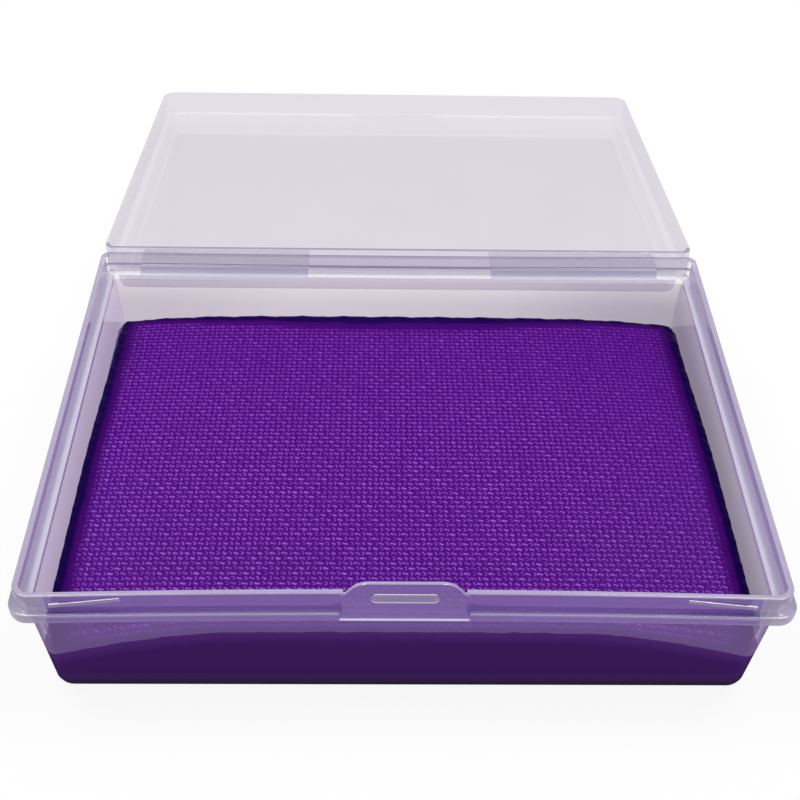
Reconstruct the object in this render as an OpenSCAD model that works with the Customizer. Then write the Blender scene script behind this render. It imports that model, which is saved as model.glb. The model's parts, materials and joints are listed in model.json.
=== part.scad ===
// Hinged flat case of clear plastic with a cast cake of craft paint.
//
// The case is one thin-walled moulding: a tray, a lid and two strap hinges.  The lid is drawn
// thrown open, with its far edge on the table.  The origin is the centre of the tray's underside,
// +Z is up, the latch faces -Y and the hinge is on the +Y side.

/* [Case] */
// Width of the case over its flange
case_w = 115; // [90:1:150]
// Depth of the case over its flange
case_d = 84.5; // [70:0.5:120]
// Height of the flange's top face above the table
flange_z = 22.5; // [16:0.5:36]
// Corner radius of the flange, seen from above
corner_r = 3.2; // [2.8:0.1:6]
// Radius of the flange's corners on the hinge side
hinge_corner_r = 2.2; // [1.6:0.1:3]

/* [Tray] */
// Thickness of the tray's walls
wall = 1.15; // [0.8:0.05:1.6]
// Thickness of the tray's floor
floor_t = 1.2; // [0.8:0.1:2.5]
// How far each side wall leans in from top to bottom
side_draft = 1.1; // [0.2:0.1:3]
// How far the front and rear walls lean in from top to bottom
end_draft = 1.7; // [0.2:0.1:3]
// Radius of the rounded edge round the foot
foot_r = 1.2; // [0.4:0.1:2.5]
// Inner corner radius of the tray
inner_r = 1.6; // [0.8:0.1:3]

/* [Rim] */
// Thickness of the flange
flange_t = 1.7; // [1:0.1:3]
// Width of the flange outside the lip, which the lid's skirt stands on
lip_inset = 1; // [0.8:0.05:1.6]
// Thickness of the lip that stands up inside the lid
lip_t = 0.95; // [0.6:0.05:1.5]
// Height of the lip above the flange
lip_h = 3.2; // [1.5:0.1:4]
// Width of the ledge inside the lip
ledge_w = 1.1; // [0.5:0.1:3]
// How far the ledge lies below the flange's top face
ledge_drop = 0.65; // [0.2:0.05:1]
// Rounding of the rim's edges
edge_r = 0.3; // [0.1:0.05:0.4]

/* [Latch] */
// Width of the latch plate across its foot
latch_w = 19; // [14:0.5:30]
// Width of the flat top of the latch plate
latch_top_w = 13.6; // [8:0.2:14]
// Height of the latch plate above the lip
latch_rise = 2.25; // [1:0.05:3]
// How far the latch plate hangs below the flange's top face
latch_drop = 2.9; // [1.8:0.1:4]
// Thickness of the latch plate
latch_t = 0.6; // [0.5:0.05:0.9]
// Rounding of the latch plate's top corners
latch_round_r = 1.5; // [1:0.1:1.8]
// Length of the catch ridge
ridge_l = 10; // [6:0.5:14]
// Height of the catch ridge
ridge_h = 1.9; // [1.2:0.1:2.6]
// How far the catch ridge stands out
ridge_proud = 0.35; // [0.1:0.05:0.4]
// Height of the ridge's middle above the flange
ridge_z = 2.45; // [2.4:0.05:3]

/* [Corner ribs] */
// Length of each wedge rib beside the front corners
rib_l = 10.2; // [4:0.2:16]
// Height of each rib at its corner end
rib_h = 1.7; // [0.8:0.1:2]
// Height of each rib at its inner end
rib_tip_h = 0.5; // [0.3:0.1:0.8]
// How far the top of each rib lies below the lip's top
rib_drop = 0.8; // [0.6:0.1:1]
// How far a rib stands out
rib_proud = 0.15; // [0.05:0.05:0.15]
// Distance from the case's side to the rib's corner end
rib_from_side = 5.6; // [4.5:0.2:12]

/* [Lid] */
// Height of the lid from its rim to its top face
lid_h = 10.1; // [9:0.1:16]
// Thickness of the lid's upper walls
lid_wall = 0.85; // [0.6:0.05:1.2]
// Thickness of the lid's top panel
panel_t = 1.3; // [0.8:0.1:1.5]
// Inside height of the skirt, from the rim to the shoulder
skirt_h = 4.9; // [4.6:0.1:6]
// Width of the shoulder between the skirt and the upper wall
shoulder_w = 1.3; // [0.8:0.1:3]
// How far the upper wall leans in from the shoulder to the panel
lid_draft = 0.7; // [0.1:0.1:1.5]
// Rounding of the lid's top edge
lid_edge_r = 0.8; // [0.3:0.1:1]
// Gap on each side of the latch plate in its pocket
pocket_clear = 0.75; // [0.5:0.05:1]
// Thickness of the wall round the latch pocket
boss_wall = 0.9; // [0.6:0.1:1.2]
// Length of the snap bead in the latch pocket
bead_l = 9.5; // [4:0.5:14]
// Height of the snap bead
bead_h = 1; // [0.5:0.1:1]
// How far the snap bead stands out from the pocket's tongue
bead_proud = 0.25; // [0.1:0.05:0.25]

/* [Hinge] */
// Distance from the tray's flange to the fold line
hinge_reach = 2.2; // [1.6:0.1:4]
// Height of the fold line above the flange's top face
hinge_rise = 0.27; // [0.15:0.01:0.6]
// Distance from the case's side to a strap's outer end
strap_from_side = 8; // [5:0.2:12]
// Length of each strap along the hinge
strap_l = 32; // [16:0.5:32]
// Thickness of a strap where it meets the rim
strap_root_t = 0.55; // [0.4:0.05:0.8]
// Thickness of the film at the fold line
film_t = 0.25; // [0.15:0.05:0.35]

/* [Paint cake] */
// Height of the middle of the cake above the tray's floor
cake_h = 13.8; // [6:0.2:18]
// How much lower the cake is along the walls
cake_crown = 1.2; // [0.4:0.1:3]
// How much lower again it is in the corners
cake_corner_drop = 3.2; // [0.5:0.1:5]
// Width of the band over which the cake's top falls towards the walls
cake_band = 12; // [6:0.5:20]

/* [Clearances] */
// Side gap between the lip and the lid's skirt
lid_clear = 0.2; // [0.15:0.05:0.4]
// Gap between the flange and the closed lid's rim
seat_clear = 0.1; // [0.05:0.05:0.3]
// Gap between the latch plate's ridge and the pocket's tongue
latch_clear = 0.1; // [0.05:0.05:0.2]
// Gap on each side of the fold line
fold_clear = 0.05; // [0.04:0.01:0.15]
// Gap between the cake's sides and the tray's walls
cake_clear = 0.05; // [0.02:0.01:0.2]

/* [Hidden] */
$fn = 64;
hull_fn = 32;                       // facets of the circles inside a hull
skin = 0.01;                        // thickness of the slices that a hull is drawn over
over = 0.1;                         // how far a cutter runs past the face it opens
arc_steps = [0:30:90];              // slices round a quarter-round edge
least_r = 0.8;                      // smallest corner radius of a plate

// Rim, from the outside in
lip_inner_inset = lip_inset + lip_t;
inner_inset = lip_inner_inset + ledge_w;
outer_inset = inner_inset - wall;
ledge_z = flange_z - ledge_drop;
lip_top_z = flange_z + lip_h;
wall_r = corner_r - 0.2;            // the walls' corners are a little tighter than the flange's

// Lid, in its closed place
lid_rim_z = flange_z + seat_clear;
lid_top_z = lid_rim_z + lid_h;
skirt_t = lip_inset - lid_clear;
shoulder_z = lid_rim_z + skirt_h;
shoulder_top_z = shoulder_z + lid_wall;
upper_inset = skirt_t + shoulder_w;
upper_outer_inset = upper_inset - lid_wall;
lid_rear_gap = fold_clear;          // keeps the lid's rear face clear of the tray's leaves
lid_r_y = case_d / 2 - lid_rear_gap;
upper_outer_r = corner_r - upper_outer_inset + 0.6;
upper_inner_r = 1.4;
top_corner_drop = 0.2;              // how much tighter the upper wall's corners are at the panel

// Latch
latch_low_z = flange_z - latch_drop;
latch_top_z = lip_top_z + latch_rise;
latch_step = 0.6;                   // how far the latch plate steps in above the lip
latch_round_in = 0.3;               // how far its top roundings stand in from the flat top's ends
ridge_gap = lip_inset - ridge_proud;
tongue_t = ridge_gap - latch_clear;
pocket_w = latch_w + 2 * pocket_clear;
pocket_past = 1;                    // how far the pocket opens past the upper wall
boss_w = pocket_w + 2 * boss_wall;

// Hinge fold line, and the angle at which the rounded far edge of the open lid meets the table
fold_y = case_d / 2 + hinge_reach;
fold_z = flange_z + hinge_rise;
edge_y = fold_y + case_d / 2 - upper_outer_inset - lid_draft - lid_edge_r;
edge_z = lid_top_z - lid_edge_r - fold_z;
open_tilt = asin((fold_z - lid_edge_r) / norm([edge_y, edge_z])) - atan2(edge_z, edge_y);
open_angle = 180 + open_tilt;

// Step on the cake's crown, as shares of the crown's height and of the band's width
crown_step = [0.4, 0.75];

// Rounded rectangle with its own corner radii at the front and on the hinge side, drawn `inset`
// inside the case's outline
module outline(inset, r_front, r_rear, rear_gap = 0) {
    w = case_w / 2 - inset;
    front = -case_d / 2 + inset;
    rear = case_d / 2 - rear_gap - inset;
    for (side = [-1, 1]) {
        translate([side * (w - r_front), front + r_front]) circle(r_front);
        translate([side * (w - r_rear), rear - r_rear]) circle(r_rear);
    }
    polygon([
        [-w + r_front, front], [w - r_front, front], [w, front + r_front], [w, rear - r_rear],
        [w - r_rear, rear], [-w + r_rear, rear], [-w, rear - r_rear], [-w, front + r_front]
    ]);
}

// Plate between two heights with the case's outline, `inset` inside it
module plate(z_low, z_high, inset, rear_gap = 0) {
    r_front = max(corner_r - inset, least_r);
    r_rear = max(hinge_corner_r - inset, least_r);
    translate([0, 0, z_low]) linear_extrude(z_high - z_low) outline(inset, r_front, r_rear, rear_gap);
}

// Thin slice of a wall's inside or outside with separate insets at the sides and at the ends
module slice(z, side_inset, end_inset, r, rear_gap = 0) {
    w = case_w - 2 * side_inset;
    d = case_d - rear_gap - 2 * end_inset;
    translate([0, -rear_gap / 2, z]) linear_extrude(skin) {
        square([w - 2 * r, d], center = true);
        square([w, d - 2 * r], center = true);
        for (x = [-1, 1], y = [-1, 1]) translate([x * (w / 2 - r), y * (d / 2 - r)])
            circle(r, $fn = hull_fn);
    }
}

// ---- Tray ----------------------------------------------------------------------------------

// Share of the draft that a wall has leaned in at height z
function lean(z) = max(0, 1 - z / (flange_z - flange_t));

// Outside of the tray below the flange, drafted, with a rounded foot
module tray_outside() {
    foot_side = outer_inset + side_draft;
    foot_end = outer_inset + end_draft;
    hull() {
        for (a = arc_steps) slice(foot_r * (1 - cos(a)), foot_side + foot_r * (1 - sin(a)),
            foot_end + foot_r * (1 - sin(a)), wall_r - foot_r * (1 - sin(a)) / 2);
        slice(flange_z - flange_t, outer_inset, outer_inset, wall_r);
    }
}

// Slice of the space inside the tray's walls at height z, `extra` away from them
module inside_slice(z, extra, r) {
    slice(z, inner_inset + side_draft * lean(z) + extra, inner_inset + end_draft * lean(z) + extra, r);
}

// Space inside the tray from its floor up to a height above the flange
module tray_inside(top_z) {
    hull() {
        for (a = arc_steps)
            inside_slice(floor_t + foot_r * (1 - cos(a)), foot_r * (1 - sin(a)), inner_r);
        inside_slice(flange_z - flange_t, 0, inner_r);
        inside_slice(top_z, 0, inner_r);
    }
}

module flange() {
    hull() {
        plate(flange_z - flange_t, flange_z, edge_r, $fn = hull_fn);
        plate(flange_z - flange_t + edge_r, flange_z - edge_r, 0, $fn = hull_fn);
    }
}

module lip() {
    difference() {
        union() {
            plate(flange_z - edge_r, lip_top_z - edge_r, lip_inset);
            plate(lip_top_z - edge_r - skin, lip_top_z, lip_inset + edge_r / 2);
        }
        plate(ledge_z, lip_top_z + over, lip_inner_inset);
    }
}

// Where the line from q touches a circle of radius r round c, on its outer side
function touch(q, c, r) =
    let (d = norm(q - c), a = atan2(q[1] - c[1], q[0] - c[0]) + acos(r / d))
    c + r * [cos(a), sin(a)];

// Front view of the latch plate: wide foot, sloping shoulders, flat top with rounded corners
module latch_profile() {
    shoulder = [latch_w / 2 - latch_step, lip_top_z - edge_r];
    round_c = [latch_top_w / 2 - latch_round_in, latch_top_z - latch_round_r];
    meet = touch(shoulder, round_c, latch_round_r);
    for (side = [-1, 1]) scale([side, 1]) translate(round_c) circle(latch_round_r);
    polygon([
        [-latch_w / 2, latch_low_z], [latch_w / 2, latch_low_z], [latch_w / 2, shoulder[1]], shoulder, meet,
        [round_c[0], latch_top_z], [-round_c[0], latch_top_z], [-meet[0], meet[1]],
        [-shoulder[0], shoulder[1]], [-latch_w / 2, shoulder[1]]
    ]);
}

// Upright slab that takes a front view, from `front_inset` inwards
module upright(front_inset, thickness) {
    translate([0, -case_d / 2 + front_inset + thickness, 0]) rotate([90, 0, 0])
        linear_extrude(thickness) children();
}

module latch_plate() {
    upright(lip_inset, latch_t) latch_profile();
}

// Catch ridge: a bar with round ends whose face is domed
module catch_ridge() {
    dome_r = (pow(ridge_h / 2, 2) + pow(ridge_proud, 2)) / (2 * ridge_proud);
    half = ridge_l / 2 - ridge_h / 2;
    sink = dome_r - ridge_proud;
    face_y = -case_d / 2 + lip_inset;
    intersection() {
        translate([0, face_y + sink, flange_z + ridge_z]) {
            rotate([0, 90, 0]) cylinder(r = dome_r, h = 2 * half, center = true);
            for (side = [-1, 1]) translate([side * half, 0, 0]) sphere(dome_r);
        }
        translate([-ridge_l, face_y - ridge_proud - over, flange_z])
            cube([2 * ridge_l, ridge_proud + over + latch_t / 2, 2 * ridge_z]);
    }
}

// Wedge rib on the outside of the lip's front, tall at its corner end and low at its inner end
module corner_rib() {
    outer_x = case_w / 2 - rib_from_side;
    top = lip_top_z - rib_drop;
    upright(lip_inset - rib_proud, rib_proud + lip_t / 2) polygon([
        [outer_x, top], [outer_x, top - rib_h], [outer_x - rib_l, top - rib_tip_h], [outer_x - rib_l, top]
    ]);
}

module base_tray() {
    color([0.86, 0.85, 0.93, 0.45]) {
        difference() {
            union() {
                tray_outside();
                flange();
            }
            tray_inside(flange_z + over);
            plate(ledge_z, flange_z + over, lip_inner_inset);
            translate([-latch_w / 2, -case_d / 2 - over, latch_low_z])
                cube([latch_w, lip_inset + over, latch_drop + over]);
        }
        lip();
        latch_plate();
        catch_ridge();
        for (side = [0, 1]) mirror([side, 0, 0]) corner_rib();
    }
}

// ---- Lid, drawn closed and then swung open --------------------------------------------------

module lid_outside() {
    rear = lid_rear_gap;
    hull() {
        plate(lid_rim_z, shoulder_top_z - edge_r, 0, rear, $fn = hull_fn);
        plate(shoulder_top_z - edge_r, shoulder_top_z, edge_r, rear, $fn = hull_fn);
    }
    outer = upper_outer_inset;
    hull() {
        slice(shoulder_top_z - skin, outer, outer, upper_outer_r, rear);
        for (a = arc_steps) slice(lid_top_z - skin - lid_edge_r * (1 - cos(a)),
            outer + lid_draft + lid_edge_r * (1 - sin(a)),
            outer + lid_draft + lid_edge_r * (1 - sin(a)), upper_outer_r - top_corner_drop, rear);
    }
}

module lid_inside() {
    rear = lid_rear_gap;
    plate(lid_rim_z - over, shoulder_z, skirt_t, rear);
    hull() {
        slice(shoulder_z - over, upper_inset, upper_inset, upper_inner_r, rear);
        slice(lid_top_z - panel_t - skin, upper_inset + lid_draft, upper_inset + lid_draft,
            upper_inner_r - top_corner_drop, rear);
    }
}

// Box that stands out over the latch, so that the pocket has a wall all round
module latch_boss() {
    translate([-boss_w / 2, -case_d / 2, shoulder_z])
        cube([boss_w, upper_inset + lid_draft, lid_top_z - lid_edge_r - shoulder_z]);
}

module latch_pocket() {
    translate([-pocket_w / 2, -case_d / 2 + tongue_t, lid_rim_z - over])
        cube([pocket_w, upper_inset + lid_draft + pocket_past - tongue_t,
            lid_top_z - panel_t - lid_rim_z + over]);
}

module snap_bead() {
    depth = tongue_t / 2;
    translate([-bead_l / 2, -case_d / 2 + tongue_t - depth, lid_rim_z])
        cube([bead_l, depth + bead_proud, bead_h]);
}

module closed_lid() {
    difference() {
        union() {
            lid_outside();
            latch_boss();
        }
        lid_inside();
        latch_pocket();
    }
    snap_bead();
}

// Turns what is drawn closed about the fold line, out to where it rests on the table
module swung_open() {
    translate([0, fold_y, fold_z]) rotate([-open_angle, 0, 0])
        translate([0, -fold_y, -fold_z]) children();
}

module lid() {
    color([0.88, 0.87, 0.94, 0.4]) swung_open() closed_lid();
}

// ---- Strap hinges ---------------------------------------------------------------------------

// Cross-section of a leaf from its root to the film, as y and z from the fold line
module leaf(root_y, side) {
    tip = -fold_clear;
    root = root_y - fold_y;
    outer_x = case_w / 2 - strap_from_side;
    x_low = side > 0 ? outer_x - strap_l : -outer_x;
    translate([x_low, fold_y, fold_z]) rotate([90, 0, 90]) linear_extrude(strap_l) polygon([
        [root, -fold_clear], [root, -fold_clear - strap_root_t], [tip, -fold_clear - film_t],
        [tip, -fold_clear]
    ]);
}

module tray_leaf(side) {
    color([0.62, 0.6, 0.75, 0.6]) leaf(case_d / 2, side);
}

// The lid's leaf is the tray's one turned over on the fold line
module lid_leaf(side) {
    color([0.62, 0.6, 0.75, 0.6]) swung_open() translate([0, 0, 2 * fold_z]) mirror([0, 0, 1])
        leaf(lid_r_y, side);
}

module tray_hinge_leaf_left() { tray_leaf(-1); }
module tray_hinge_leaf_right() { tray_leaf(1); }
module lid_hinge_leaf_left() { lid_leaf(-1); }
module lid_hinge_leaf_right() { lid_leaf(1); }

// ---- Paint cake -----------------------------------------------------------------------------

// Slice of the cake at height z, `extra` inside its foot's outline, with its own corner radius
module cake_slice(z, extra, r) {
    inside_slice(z, cake_clear + extra, r);
}

module paint_cake() {
    top_z = floor_t + cake_h;
    wall_z = top_z - cake_crown;
    corner_z = wall_z - cake_corner_drop;
    color([0.36, 0.1, 0.6]) hull() {
        for (a = arc_steps) cake_slice(floor_t + foot_r * (1 - cos(a)), foot_r * (1 - sin(a)), inner_r);
        cake_slice(corner_z, 0, inner_r);
        cake_slice(wall_z, 0, cake_band);
        cake_slice(wall_z + cake_crown * crown_step[1], cake_band * crown_step[0], cake_band);
        cake_slice(top_z - skin, cake_band, cake_band);
    }
}

base_tray();
lid();
tray_hinge_leaf_left();
tray_hinge_leaf_right();
lid_hinge_leaf_left();
lid_hinge_leaf_right();
paint_cake();
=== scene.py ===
"""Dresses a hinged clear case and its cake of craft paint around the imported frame.

The case stands on a pale table with its lid thrown open.  All lengths are written in millimetres and
turned into metres when a mesh is made; X runs to the right, Y towards the hinge and Z up.
"""

from __future__ import annotations

import json
import logging
import math
from contextlib import contextmanager
from dataclasses import astuple, dataclass, field
from enum import Enum, auto
from typing import Callable, Iterator, Sequence

import bmesh
import bpy
from mathutils import Matrix, Vector

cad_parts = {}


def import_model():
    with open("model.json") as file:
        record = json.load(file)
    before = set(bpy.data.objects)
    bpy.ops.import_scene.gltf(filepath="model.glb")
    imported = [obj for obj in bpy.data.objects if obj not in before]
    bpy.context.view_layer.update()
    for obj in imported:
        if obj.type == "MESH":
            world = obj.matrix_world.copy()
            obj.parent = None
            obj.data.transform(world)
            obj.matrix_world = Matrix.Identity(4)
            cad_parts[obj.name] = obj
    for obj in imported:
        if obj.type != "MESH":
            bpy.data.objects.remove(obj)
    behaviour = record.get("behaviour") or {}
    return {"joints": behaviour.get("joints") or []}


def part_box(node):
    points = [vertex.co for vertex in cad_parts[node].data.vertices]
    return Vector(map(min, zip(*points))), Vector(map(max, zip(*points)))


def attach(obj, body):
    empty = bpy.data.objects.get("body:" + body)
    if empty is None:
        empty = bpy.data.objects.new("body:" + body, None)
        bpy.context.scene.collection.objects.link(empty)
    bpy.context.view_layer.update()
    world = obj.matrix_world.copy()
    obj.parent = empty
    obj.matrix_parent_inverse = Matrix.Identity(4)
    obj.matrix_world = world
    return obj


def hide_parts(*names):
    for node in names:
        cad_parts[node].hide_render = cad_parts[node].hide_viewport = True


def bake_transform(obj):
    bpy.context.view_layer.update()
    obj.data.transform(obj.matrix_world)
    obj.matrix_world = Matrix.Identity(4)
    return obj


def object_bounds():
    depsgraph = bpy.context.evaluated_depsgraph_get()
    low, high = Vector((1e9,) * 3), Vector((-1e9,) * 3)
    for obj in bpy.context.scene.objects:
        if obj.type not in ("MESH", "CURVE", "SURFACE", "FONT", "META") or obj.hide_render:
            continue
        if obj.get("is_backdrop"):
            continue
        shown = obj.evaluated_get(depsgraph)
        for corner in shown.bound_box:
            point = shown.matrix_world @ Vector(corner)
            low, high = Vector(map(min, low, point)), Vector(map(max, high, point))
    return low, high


MM = 0.001
NEAR_M = 1e-6
LOG = logging.getLogger("paint_case")
Piece, Material, Socket = bpy.types.Object, bpy.types.Material, bpy.types.NodeSocket
Pair = tuple[float, float]
Triple = tuple[float, float, float]
Colour = Triple | Socket


# ---- Shader graphs ---------------------------------------------------------------------------


class Value:
    """A socket that carries a number and can be used in an expression."""

    def __init__(self, graph: Graph, socket: Socket) -> None:
        """Keeps the graph that new Math nodes go into, and the socket itself."""
        self.graph = graph
        self.socket = socket

    def _math(self, operation: str, *terms: Value | float) -> Value:
        """The result of a Math node on its terms, in order."""
        node = self.graph.node("ShaderNodeMath", {"operation": operation}, dict(enumerate(terms)))
        return Value(self.graph, node.outputs[0])

    def __add__(self, other: Value | float) -> Value:
        """The sum."""
        return self._math("ADD", self, other)

    __radd__ = __add__

    def __sub__(self, other: Value | float) -> Value:
        """The difference."""
        return self._math("SUBTRACT", self, other)

    def __rsub__(self, other: Value | float) -> Value:
        """The difference from a number on the left."""
        return self._math("SUBTRACT", other, self)

    def __mul__(self, other: Value | float) -> Value:
        """The product."""
        return self._math("MULTIPLY", self, other)

    __rmul__ = __mul__

    def __truediv__(self, other: Value | float) -> Value:
        """The quotient."""
        return self._math("DIVIDE", self, other)

    def fract(self) -> Value:
        """The part after the decimal point."""
        return self._math("FRACT", self)

    def floor(self) -> Value:
        """The whole number below."""
        return self._math("FLOOR", self)

    def modulo(self, other: Value | float) -> Value:
        """The remainder, never negative."""
        return self._math("FLOORED_MODULO", self, other)

    def absolute(self) -> Value:
        """The size without its sign."""
        return self._math("ABSOLUTE", self)

    def least(self, other: Value | float) -> Value:
        """The smaller of two."""
        return self._math("MINIMUM", self, other)

    def most(self, other: Value | float) -> Value:
        """The larger of two."""
        return self._math("MAXIMUM", self, other)

    def power(self, other: Value | float) -> Value:
        """This raised to a power."""
        return self._math("POWER", self, other)

    def step(self, low: float, high: float) -> Value:
        """A smooth step.

        Args:
            low: Where the result is 0.
            high: Where it is 1.  It may lie below `low`.

        Returns:
            A value that eases from 0 to 1.
        """
        settings = {"interpolation_type": "SMOOTHSTEP", "clamp": True}
        reverse = high < low
        inputs = {0: self, 1: min(low, high), 2: max(low, high), 3: float(reverse), 4: float(not reverse)}
        return Value(self.graph, self.graph.node("ShaderNodeMapRange", settings, inputs).outputs[0])


class Graph:
    """The node tree of a new material or world, emptied, and the nodes that are added to it."""

    def __init__(self, owner: Material | bpy.types.World) -> None:
        """Empties the owner's node tree."""
        owner.use_nodes = True
        self.owner, self.tree = owner, owner.node_tree
        self.tree.nodes.clear()

    def node(self, kind: str, settings: dict | None = None, inputs: dict | None = None) -> bpy.types.Node:
        """Adds a node.

        Args:
            kind: The node's type.
            settings: Its own properties, set before its sockets.
            inputs: Values, sockets or Values by socket name or number.

        Returns:
            The node.
        """
        node = self.tree.nodes.new(kind)
        for name, setting in (settings or {}).items():
            setattr(node, name, setting)
        for key, given in (inputs or {}).items():
            socket = node.inputs[key]
            given = given.socket if isinstance(given, Value) else given
            if isinstance(given, Socket):
                self.tree.links.new(given, socket)
            else:
                socket.default_value = given
        return node

    def place(self) -> Socket:
        """The point on the piece, in millimetres."""
        inputs = {0: self.node("ShaderNodeTexCoord").outputs["Object"], "Scale": 1.0 / MM}
        return self.node("ShaderNodeVectorMath", {"operation": "SCALE"}, inputs).outputs[0]

    def axes(self, vector: Socket) -> tuple[Value, Value, Value]:
        """The three parts of a vector."""
        parts = self.node("ShaderNodeSeparateXYZ", None, {0: vector}).outputs
        return Value(self, parts[0]), Value(self, parts[1]), Value(self, parts[2])

    def noise(self, vector: Socket, scale: float, detail: float = 2.0) -> Value:
        """Soft noise from 0 to 1, with `scale` cells to a unit of the vector."""
        inputs = {"Vector": vector, "Scale": scale, "Detail": detail}
        return Value(self, self.node("ShaderNodeTexNoise", None, inputs).outputs[0])

    def blend(self, share: Value | float, low: Colour, high: Colour) -> Socket:
        """Mixes two colours.

        Args:
            share: How far to go, from 0 to 1.
            low: The colour at 0.
            high: The colour at 1.

        Returns:
            The mixed colour.
        """
        low, high = (end if isinstance(end, Socket) else (*end, 1.0) for end in (low, high))
        settings = {"data_type": "RGBA", "clamp_factor": True}
        return self.node("ShaderNodeMix", settings, {0: share, 6: low, 7: high}).outputs[2]

    def bump(self, height: Value, depth: float) -> Socket:
        """A normal that follows a height from 0 to 1 over `depth` millimetres."""
        inputs = {"Height": height, "Distance": depth * MM, "Strength": 1.0}
        return self.node("ShaderNodeBump", None, inputs).outputs[0]

    def seen_ray(self, first: str, *others: str) -> Value:
        """1 for the kinds of ray that are named, and 0 for the light that falls on the object.

        Args:
            first: A Light Path output.
            others: More of them.

        Returns:
            The largest of the outputs.
        """
        rays = self.node("ShaderNodeLightPath").outputs
        seen = Value(self, rays[first])
        for name in others:
            seen = seen.most(Value(self, rays[name]))
        return seen

    def finish(self, shader: bpy.types.Node, output: str = "Material") -> Material | bpy.types.World:
        """Joins the last shader to the surface and returns the tree's owner."""
        self.node("ShaderNodeOutput" + output, None, {"Surface": shader.outputs[0]})
        return self.owner


# ---- Finishes ----------------------------------------------------------------------------------


@dataclass(frozen=True)
class Spot:
    """What a plastic finish is worked out from: its graph, the place and the flow marks there."""

    graph: Graph
    place: Socket
    flow: Value

    def axes(self) -> tuple[Value, Value, Value]:
        """The place across, along and up, in millimetres."""
        return self.graph.axes(self.place)


@dataclass(frozen=True)
class ClearPlastic:
    """Moulded plastic that lets light straight through and glows with a lavender haze; its emission is a
    painted highlight glow, off by default.
    """

    name: str
    haze: float = 0.10
    haze_spread: float = 0.02
    slant_haze: float = 0.35
    milk: Triple = (0.72, 0.67, 0.88)
    cloud: float = 0.94
    cloud_flow: Pair = (0.35, 0.7)
    tint: Triple = (0.92, 0.895, 0.935)
    gloss: float = 0.35
    gloss_power: float = 5.0
    coat_weight: float = 0.6
    coat_roughness: float = 0.08
    roughness: Pair = (0.10, 0.18)
    ior: float = 1.49
    specular: float = 0.5
    painted_glint: float = 0.0
    flow_scale: float = 0.06
    ripple_scale: float = 0.12
    ripple_depth: float = 0.003

    def material(self) -> Material:
        """The material, which is made when it is first asked for."""
        return bpy.data.materials.get(self.name) or self.build()

    def build(self) -> Material:
        """Makes the material.

        Returns:
            The material.
        """
        graph = Graph(bpy.data.materials.new(self.name))
        place = graph.place()
        spot = Spot(graph, place, graph.noise(place, self.flow_scale, 3.0))
        low, high = self.roughness
        shader = graph.node("ShaderNodeBsdfPrincipled", None, {
            "Base Color": self.colour(spot),
            "Roughness": spot.flow * (high - low) + low,
            "IOR": self.ior,
            "Specular IOR Level": self.specular,
            # Emission in the haze colour is a painted glow that stands in for highlight lines.
            "Emission Color": (*self.milk, 1.0),
            "Emission Strength": self.painted_glint,
            "Coat Weight": self.coat_weight,
            "Coat Roughness": self.coat_roughness,
            "Normal": graph.bump(graph.noise(place, self.ripple_scale, 1.0), self.ripple_depth),
        })
        clear = graph.node("ShaderNodeBsdfTransparent", None, {"Color": (*self.tint, 1.0)})
        inputs = {0: self.share(spot).least(1.0), 1: clear.outputs[0], 2: shader.outputs[0]}
        return graph.finish(graph.node("ShaderNodeMixShader", None, inputs))

    def share(self, spot: Spot) -> Value:
        """Works out how much of the surface is haze and gloss: more where it is seen aslant.

        Args:
            spot: Where on the surface.

        Returns:
            The share from 0 up, where 1 and more is all haze.
        """
        facing = Value(spot.graph, spot.graph.node("ShaderNodeLayerWeight").outputs["Facing"])
        haze = self.depth(spot) * (facing * facing * self.slant_haze + 1.0) * self.haze
        return haze + facing.power(self.gloss_power) * self.gloss + (spot.flow - 0.5) * self.haze_spread

    def depth(self, _spot: Spot) -> Value | float:
        """How thick the haze is at a place, from 0 to 1 of the full haze."""
        return 1.0

    def colour(self, spot: Spot) -> Socket:
        """The haze's colour, a little cloudy."""
        cloudy = tuple(part * self.cloud for part in self.milk)
        return spot.graph.blend(spot.flow.step(*self.cloud_flow), self.milk, cloudy)


@dataclass(frozen=True)
class PaintReflectShadePlastic(ClearPlastic):
    """The tray's inside, whose haze carries painted reflection of the paint near it and painted shade."""

    reflect_shade_z: Pair = (23.0, 14.0)
    least: float = 0.1
    end_x: Pair = (15.0, 50.0)
    end_shade: float = 0.0
    right_x: Pair = (-40.0, 40.0)
    right_darker_milk: float = 0.0
    right_shade: float = 0.0
    right_flow: float = 0.15

    def depth(self, spot: Spot) -> Value | float:
        """Thickens the haze near the paint as painted reflection, and towards both ends of the rear wall and
        on the right as painted shade.

        Args:
            spot: Where on the surface.

        Returns:
            The share of the full haze.
        """
        x, _, z = spot.axes()
        near = z.step(*self.reflect_shade_z) + x.absolute().step(*self.end_x) * self.end_shade
        return (near * (1.0 - self.least) + self.least) * (x.step(*self.right_x) * self.right_shade + 1.0)

    def colour(self, spot: Spot) -> Socket:
        """The haze's colour, a little weaker on the right as painted shade."""
        right = spot.axes()[0].step(*self.right_x) + spot.flow * self.right_flow
        return spot.graph.blend(right, self.milk, tuple(part * (1.0 - self.right_darker_milk) for part in self.milk))


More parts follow.
